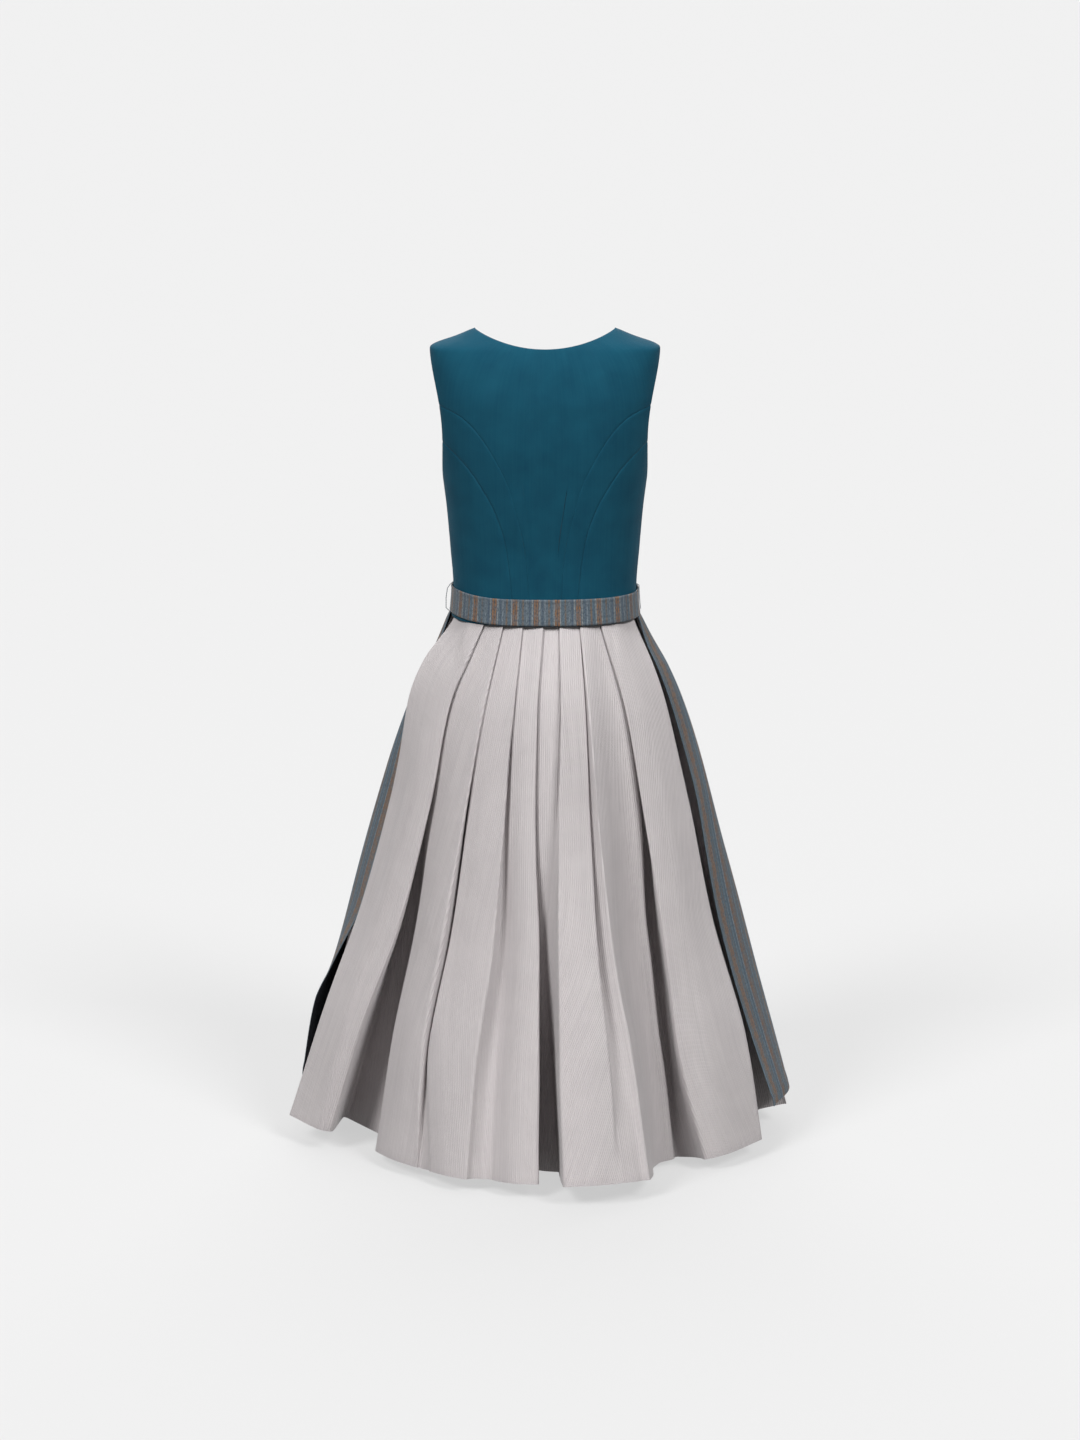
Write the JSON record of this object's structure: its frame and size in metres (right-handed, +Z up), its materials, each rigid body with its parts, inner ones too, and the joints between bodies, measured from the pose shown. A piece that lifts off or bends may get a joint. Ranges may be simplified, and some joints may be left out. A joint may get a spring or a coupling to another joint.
{
  "type": "dirndl dress with apron",
  "caption": "Sleeveless folk dress with a fitted panelled bodice, a wide pleated skirt and a striped waist apron with a band, in its worn hollow form.",
  "frame": {"origin": "midway between the two neck points of the shoulders, at their height", "axes": "+Z up, from the hem to the shoulders; +Y towards the garment's front; +X towards the wearer's right"},
  "size_m": [0.7074, 0.6187, 1.1332],
  "materials": {
    "bodice_cloth": "matt dark teal woven cloth",
    "skirt_cloth": "light grey cloth with fine satin ribs",
    "apron_cloth": "blue-grey cloth with bronze, cream and dark stripes",
    "loop_thread": "light grey twisted thread"
  },
  "bodies": {
    "root": {"back_center": "bodice_cloth", "back_inner_left": "bodice_cloth", "back_inner_right": "bodice_cloth", "back_side_left": "bodice_cloth", "back_side_right": "bodice_cloth", "front_side_left": "bodice_cloth", "front_side_right": "bodice_cloth", "front_center_left": "bodice_cloth", "front_center_right": "bodice_cloth", "skirt_back": "skirt_cloth", "skirt_front": "skirt_cloth", "apron_band": "apron_cloth", "apron_panel": "apron_cloth", "belt_loop_left": "loop_thread", "belt_loop_right": "loop_thread"}
  },
  "joints": []
}
